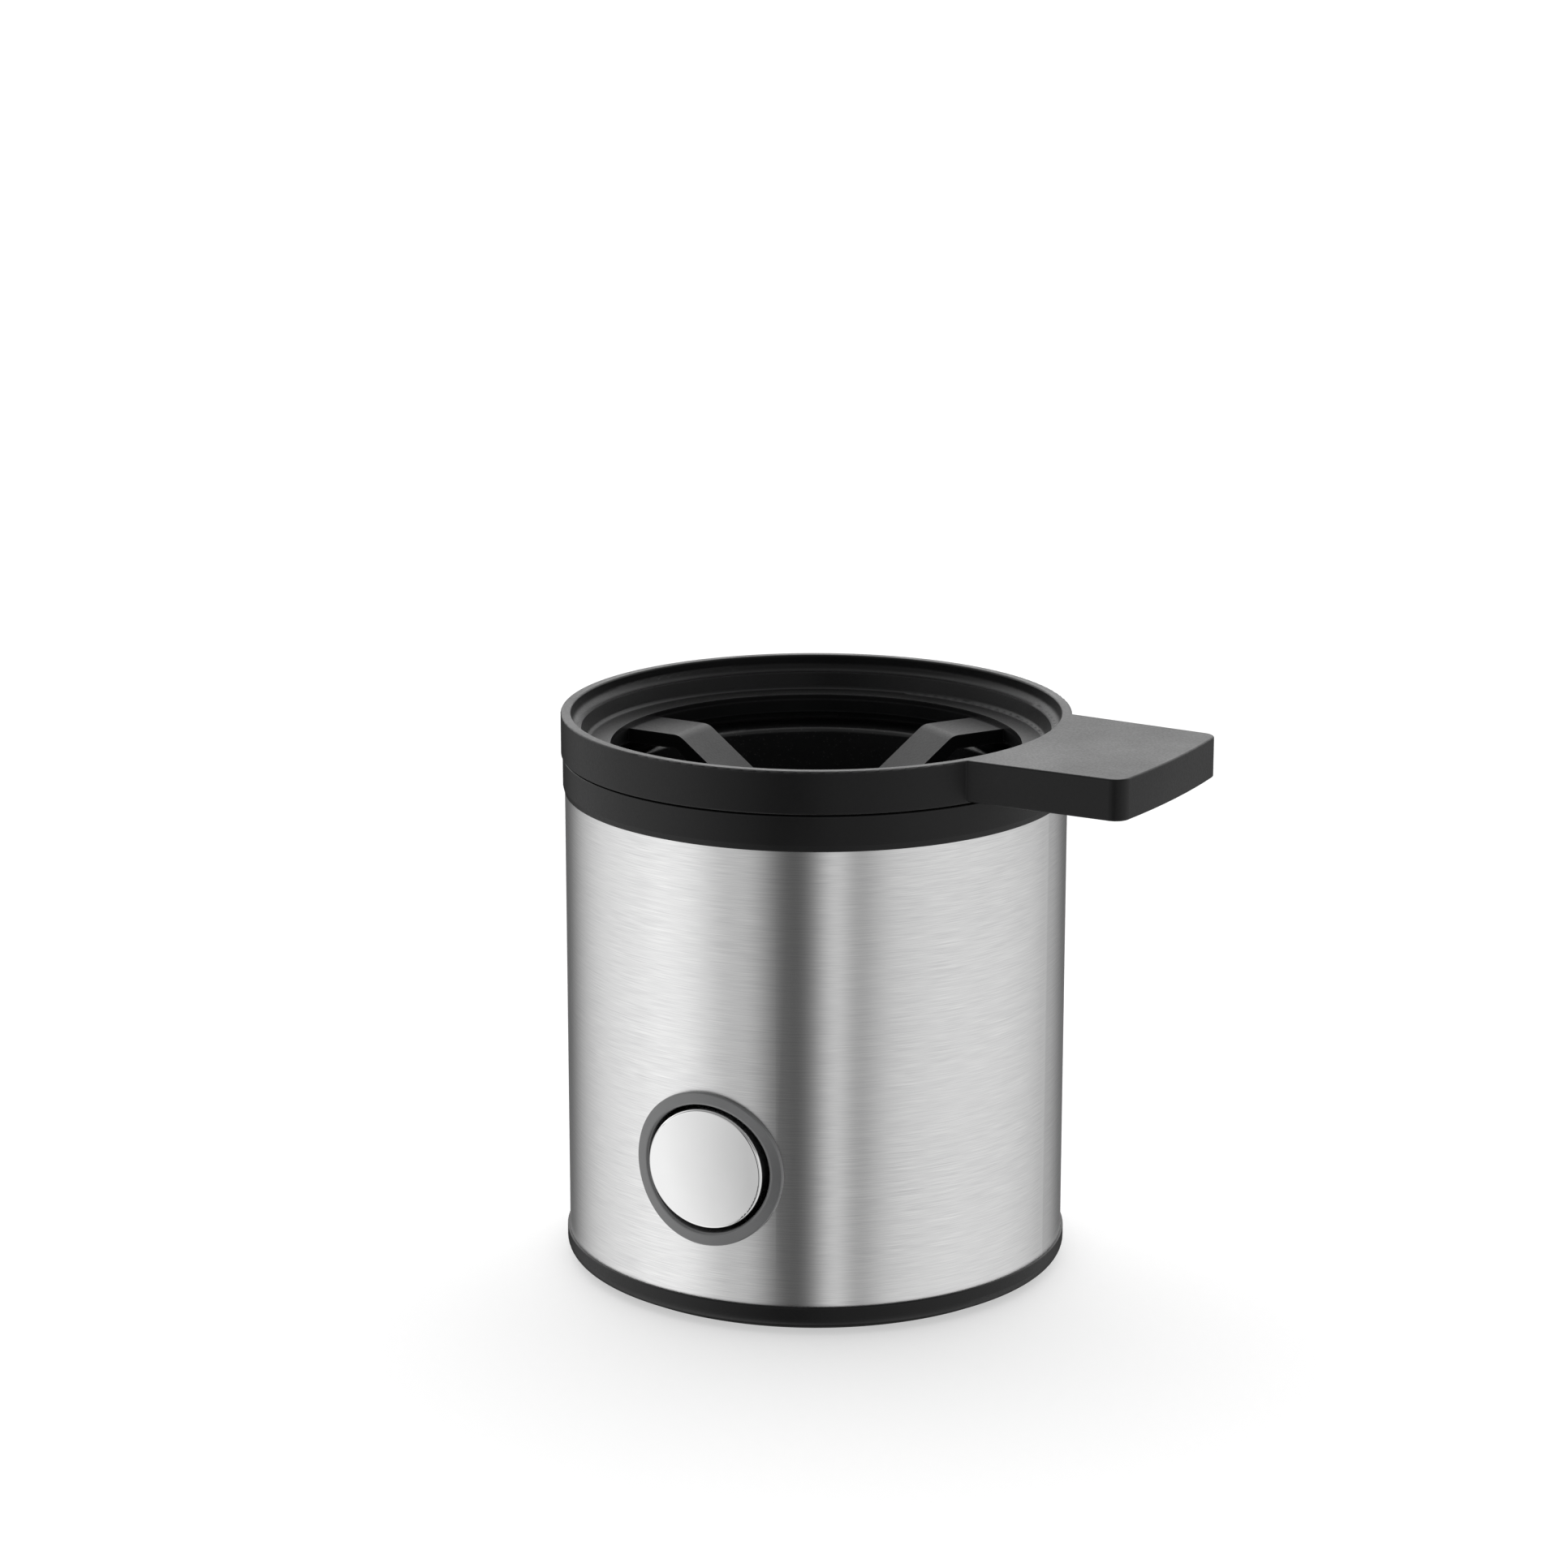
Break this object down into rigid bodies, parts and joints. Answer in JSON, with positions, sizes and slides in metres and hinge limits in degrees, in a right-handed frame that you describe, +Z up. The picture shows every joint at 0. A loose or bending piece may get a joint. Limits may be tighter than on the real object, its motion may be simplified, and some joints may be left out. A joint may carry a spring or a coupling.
{
  "type": "egg cooker",
  "caption": "Small electric egg cooker: a brushed steel drum with a push button, a water dish inside, and a lift-out carrier ring with a flat handle that holds the egg.",
  "frame": {"origin": "on the table, on the axis of the round body, at the centre of the rubber foot ring", "axes": "+Z up along the body's axis, -Y out through the push button, +Y out through the cord gland, +X roughly along the carrier's handle, which points 5 degrees towards -Y"},
  "size_m": [0.0857, 0.069, 0.0743],
  "materials": {
    "black_plastic": "satin black moulded plastic with a fine even grain",
    "grey_plastic": "natural grey glass-filled plastic, unpainted",
    "white_plastic": "natural white moulded plastic",
    "red_plastic": "red moulded plastic",
    "switch_plastic": "black moulded switch case",
    "smoky_plastic": "glossy smoky grey translucent plastic that lights up",
    "lamp_plastic": "orange neon lamp lens",
    "rubber": "soft black rubber",
    "gland_rubber": "moulded black rubber",
    "silicone": "translucent grey silicone",
    "brushed_sleeve": "stainless steel brushed round the body, with a fine horizontal grain",
    "dish_coating": "dark non-stick coating on drawn aluminium",
    "cast_aluminium": "machined aluminium",
    "element_tube": "heat-darkened steel tube",
    "plain_steel": "plain pressed steel",
    "zinc_screw": "bright zinc-plated steel",
    "brass_screw": "plain brass",
    "tinned_brass": "tin-plated brass",
    "chrome_cap": "polished chrome plating",
    "brown_bakelite": "brown phenolic moulding",
    "white_ceramic": "white steatite ceramic",
    "fuse_body": "small metal fuse case",
    "green_wire": "green and yellow silicone insulation",
    "brown_wire": "brown silicone insulation",
    "blue_wire": "blue silicone insulation",
    "white_wire": "white glass-braid sleeving"
  },
  "bodies": {
    "base": {"base_pan": "black_plastic", "foot_ring": "rubber", "base_screws": "zinc_screw", "steel_sleeve": "brushed_sleeve", "top_collar": "black_plastic", "inner_frame": "grey_plastic", "collar_screws": "zinc_screw", "dish_seal": "silicone", "heater_dish": "dish_coating", "heat_plate": "cast_aluminium", "heating_element": "element_tube", "element_beads": "white_ceramic", "element_terminals": "tinned_brass", "dish_studs": "plain_steel", "clamp_strap": "plain_steel", "strap_washer": "zinc_screw", "strap_nuts": "zinc_screw", "earth_tag": "tinned_brass", "thermostat_body": "brown_bakelite", "thermostat_terminals": "tinned_brass", "thermal_fuse": "fuse_body", "fuse_clip": "plain_steel", "button_bezel": "smoky_plastic", "button_housing": "grey_plastic", "housing_screws": "zinc_screw", "indicator_lamp": "lamp_plastic", "return_spring": "plain_steel", "switch_body": "switch_plastic", "switch_terminals": "tinned_brass", "terminal_block": "white_ceramic", "terminal_screws": "brass_screw", "cord_gland": "gland_rubber", "cord_clamp": "white_plastic", "clamp_screws": "zinc_screw", "earth_wire": "green_wire", "live_wire": "brown_wire", "neutral_wire": "blue_wire", "switched_wire": "brown_wire", "fuse_lead_in": "white_wire", "fuse_lead_out": "white_wire"},
    "egg_carrier": {"handle_ring": "black_plastic", "egg_tray": "black_plastic"},
    "button": {"button_cap": "chrome_cap", "button_stem": "white_plastic", "stem_clip": "zinc_screw", "switch_plunger": "red_plastic"}
  },
  "joints": [
    {"name": "carrier_lift", "type": "slide", "parent": "base", "child": "egg_carrier", "axis": [0, 0, 1], "range_m": [0, 0.03]},
    {"name": "button_press", "type": "slide", "parent": "base", "child": "button", "axis": [0, 1, 0], "range_m": [0, 0.0018], "stiffness_N_per_m": 300, "springref_m": -0.002, "deforming": ["return_spring"]}
  ]
}
